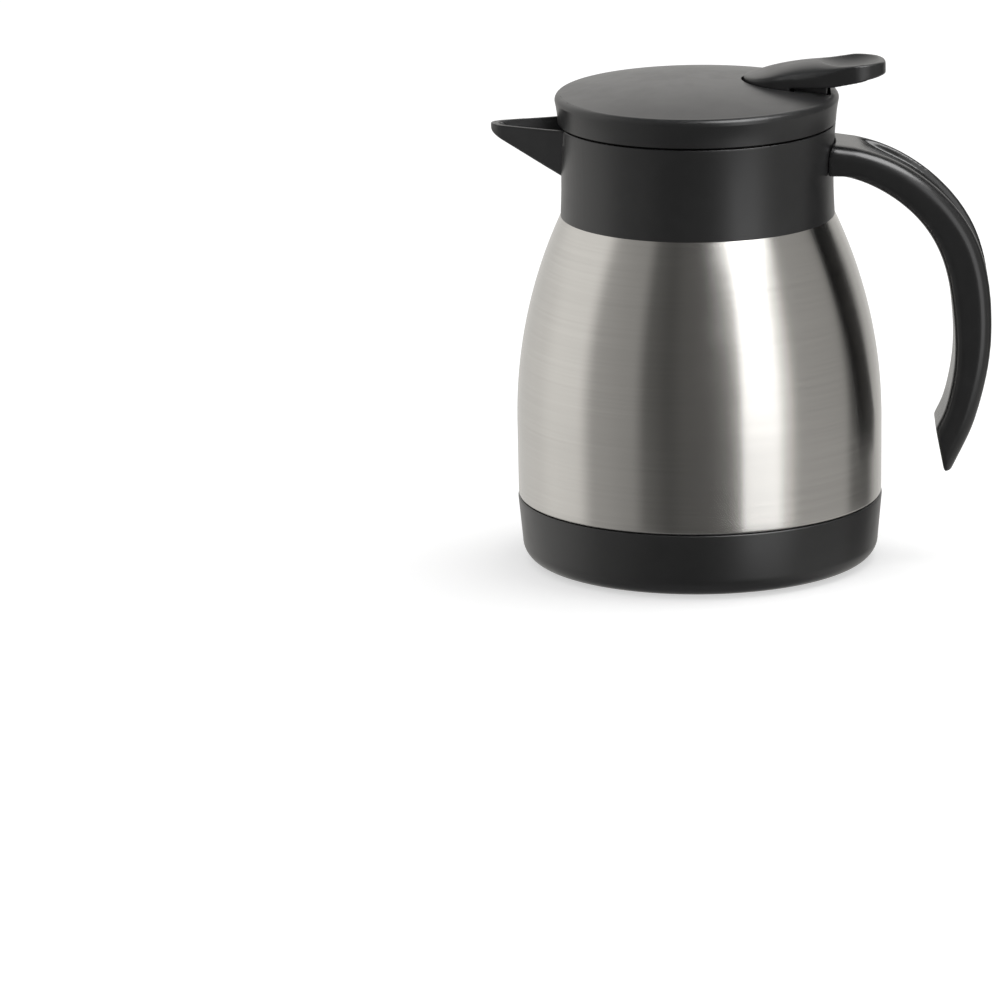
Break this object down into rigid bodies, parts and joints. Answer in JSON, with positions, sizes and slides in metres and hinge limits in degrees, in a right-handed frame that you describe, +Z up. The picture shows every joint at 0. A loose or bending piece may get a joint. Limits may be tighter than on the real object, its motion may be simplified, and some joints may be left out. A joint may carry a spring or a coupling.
{
  "type": "thermal carafe",
  "caption": "Vacuum-insulated steel carafe with a screw-in lid, a thumb lever that opens a pouring valve, a side spout and a curved handle.",
  "frame": {"origin": "centre of the flat rest face under the base", "axes": "+Z up, +X towards the handle, -X towards the spout; the XZ plane is the plane of symmetry of the outside"},
  "size_m": [0.1599, 0.1176, 0.1627],
  "materials": {
    "shell_steel": "fine brushing round the body",
    "liner_steel": "satin drawn steel",
    "black_plastic": "fine satin moulded black",
    "base_pad": "soft matt black",
    "silicone": "matt translucent grey silicone",
    "spring_steel": "drawn wire",
    "pin_steel": "bright machined steel"
  },
  "bodies": {
    "flask": {"outer_shell": "shell_steel", "outer_bottom": "liner_steel", "vent_plug": "liner_steel", "getter": "liner_steel", "inner_liner": "liner_steel", "liner_bottom": "liner_steel", "base_cup": "black_plastic", "base_pad": "base_pad", "base_cushion": "silicone", "collar": "black_plastic", "neck_ring": "black_plastic", "collar_seal": "silicone", "handle": "black_plastic", "handle_screws": "pin_steel"},
    "gasket": {"stopper_gasket": "silicone"},
    "lid": {"lid_cap": "black_plastic", "stopper_body": "black_plastic", "lid_screws": "pin_steel", "lever_pin": "pin_steel", "valve_spring": "spring_steel"},
    "lever": {"lever": "black_plastic"},
    "valve": {"valve_plug": "black_plastic", "valve_seal": "silicone", "stem_cap": "black_plastic"}
  },
  "joints": [
    {"name": "lid_rise", "type": "slide", "parent": "flask", "child": "gasket", "axis": [0, 0, 1], "range_m": [0, 0.036]},
    {"name": "lid_turn", "type": "hinge", "parent": "gasket", "child": "lid", "pos_m": [0, 0, 0.13], "axis": [0, 0, 1], "range_deg": [0, 270]},
    {"name": "lever_press", "type": "hinge", "parent": "lid", "child": "lever", "pos_m": [0.036, 0, 0.1495], "axis": [0, 1, 0], "range_deg": [0, 10], "stiffness_Nm_per_rad": 0.5, "springref_deg": -6.3},
    {"name": "valve_lift", "type": "slide", "parent": "lid", "child": "valve", "axis": [0, 0, 1], "range_m": [0, 0.0063], "deforming": ["valve_spring"]}
  ],
  "couplings": [
    {"joint": "lid_rise", "follows": "lid_turn", "m_per_rad": 0.007639},
    {"joint": "valve_lift", "follows": "lever_press", "m_per_rad": 0.036}
  ]
}
